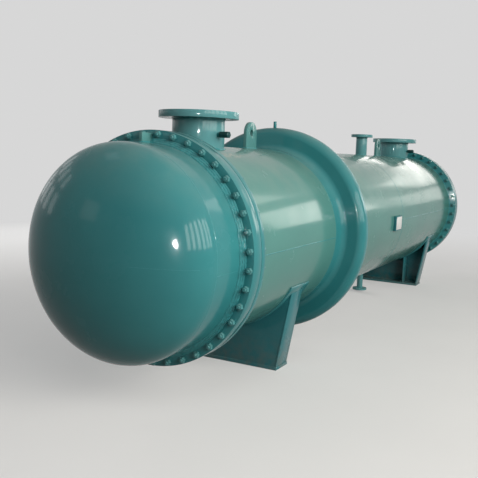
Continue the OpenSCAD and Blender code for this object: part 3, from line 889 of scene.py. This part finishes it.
world = bpy.data.worlds.new("studio")
world.use_nodes = True
bpy.context.scene.world = world
tree = world.node_tree
sky = tree.nodes["Background"]
sky.inputs["Color"].default_value = (1, 1, 1, 1)
tree.links.new(remap(tree, shownDirectly(tree), 0, 1, room["fill"], room["sky"]),
               sky.inputs["Strength"])


def softBox(name, at, towards, width, height, radiance, shines=True, tint=(1, 1, 1)):
    # a lamp that shines is seen in the paint's gloss
    light = bpy.data.lights.new(name, "AREA")
    light.shape, light.size, light.size_y = "RECTANGLE", width, height
    light.energy = radiance * width * height * math.pi
    light.color = tint
    obj = bpy.data.objects.new(name, light)
    aim = Vector(towards) - Vector(at)
    turn = aim.to_track_quat("-Z", "Y").to_matrix().to_4x4()
    obj.matrix_world = Matrix.Translation(at) @ turn
    obj.visible_camera = False
    obj.visible_glossy = shines
    bpy.context.scene.collection.objects.link(obj)


warm = (1.0, 0.97, 0.91)  # daylight through dusty glass
rightWindows = {"y": -9.5, "z": 4.4, "width": 1.4, "height": 4.4, "first": -10.4,
                "pitch": 2.3, "count": 6, "radiance": 10.5}
for i in range(rightWindows["count"]):
    x = rightWindows["first"] + i * rightWindows["pitch"]
    softBox(f"rightWindow{i}", (x, rightWindows["y"], rightWindows["z"]),
            (x, 0, rightWindows["z"]), rightWindows["width"], rightWindows["height"],
            rightWindows["radiance"], tint=warm)
leftWindows = {"y": 9.5, "rows": (3.3, 5.6), "width": 1.1, "height": 1.7, "first": -6.2,
               "pitch": 2.0, "count": 4, "radiance": 1.6}
for i in range(leftWindows["count"]):
    x = leftWindows["first"] + i * leftWindows["pitch"]
    for row, z in enumerate(leftWindows["rows"]):
        softBox(f"leftWindow{i}{row}", (x, leftWindows["y"], z), (x, 0, z),
                leftWindows["width"], leftWindows["height"], leftWindows["radiance"])
farWindows = [  # place, what it faces, width, height, radiance
    ((17, 0.5, 5.1), (3, -0.7, 1.6), 7.5, 1.8, 2.7),
    ((17, -3.4, 2.8), (3, -0.7, 1.3), 3.0, 1.8, 1.3),
    ((17, -8.0, 4.9), (-2.6, -0.7, 1.3), 4.0, 4.0, 4.5),
    ((17, -8.0, 10.6), (-2.6, -0.7, 1.3), 4.0, 3.4, 2.6),
    ((-11.6, 6.4, 4.1), (-4, 0, 1.3), 2.2, 2.0, 1.0),
    ((-5.5, 6.0, 11.0), (-4, 0, 1.5), 3.0, 2.0, 1.0)]
for i, (at, towards, width, height, radiance) in enumerate(farWindows):
    softBox(f"farWindow{i}", at, towards, width, height, radiance, tint=warm)
plainLamps = [  # name, place, what it faces, width, height, radiance, tint
    ("rightKey", (-4.8, -8.1, 5.85), (-3.4, 0, 1.1), 5, 4, 4.6, warm),
    ("frontFill", (-9.2, -3.4, 7.8), (-3.4, 0, 1.1), 5, 4, 2.6, (1, 1, 1)),
    ("lowKey", (-9.5, -7.2, 2.6), (-3.4, 0, 1.3), 5, 3, 1.2, (1, 1, 1)),
    ("backFill", (4.5, 9.5, 3.4), (0, 0, 1.1), 8, 4, 5.5, (1, 1, 1)),
    ("backEnd", (11.5, 3.0, 3.2), (3, 0, 1.1), 5, 3, 3.0, (1, 1, 1))]
for name, at, towards, width, height, radiance, tint in plainLamps:
    softBox(name, at, towards, width, height, radiance, shines=False, tint=tint)

view = {"at": (-5.1493, -3.7405, 0.9074), "yaw": 0.4947, "pitch": -0.1226, "roll": -0.0359,
        "focalPixels": 674.295, "framePixels": 478}  # place in shell radii from the flange face


def photoCamera():
    yaw, pitch, roll = view["yaw"], view["pitch"], view["roll"]
    ahead = Vector((math.cos(yaw) * math.cos(pitch), math.sin(yaw) * math.cos(pitch),
                    math.sin(pitch)))
    right = Vector((math.sin(yaw), -math.cos(yaw), 0))
    down = ahead.cross(right)
    x = math.cos(roll) * right + math.sin(roll) * down
    y = math.sin(roll) * right - math.cos(roll) * down
    data = bpy.data.cameras.new("camera")
    data.sensor_width = 36
    data.lens = 36 * view["focalPixels"] / view["framePixels"]
    obj = bpy.data.objects.new("camera", data)
    a, b, c = view["at"]
    place = Vector((frontFace + a * shellR, b * shellR, axisZ + c * shellR))
    turn = Matrix((x, y, -ahead)).transposed().to_4x4()
    obj.matrix_world = Matrix.Translation(place) @ turn
    bpy.context.scene.collection.objects.link(obj)
    bpy.context.scene.camera = obj
    return place


eye = photoCamera()
besideLens = Vector((-0.021, 0.040, 0.02))
flashes = [  # name, watts, radius, whether it lights matt surfaces too
    ("flash", 14, 0.09, True), ("flashGlint", 620, 0.19, False)]
for name, watts, radius, lightsMatt in flashes:
    flash = bpy.data.lights.new(name, "POINT")
    flash.energy, flash.shadow_soft_size = watts, radius
    flashObject = bpy.data.objects.new(name, flash)
    flashObject.location = eye + besideLens
    flashObject.visible_diffuse = lightsMatt
    flashObject.visible_camera = False
    bpy.context.scene.collection.objects.link(flashObject)
bpy.context.scene.view_settings.view_transform = "Standard"
print("stage, lights and camera made")
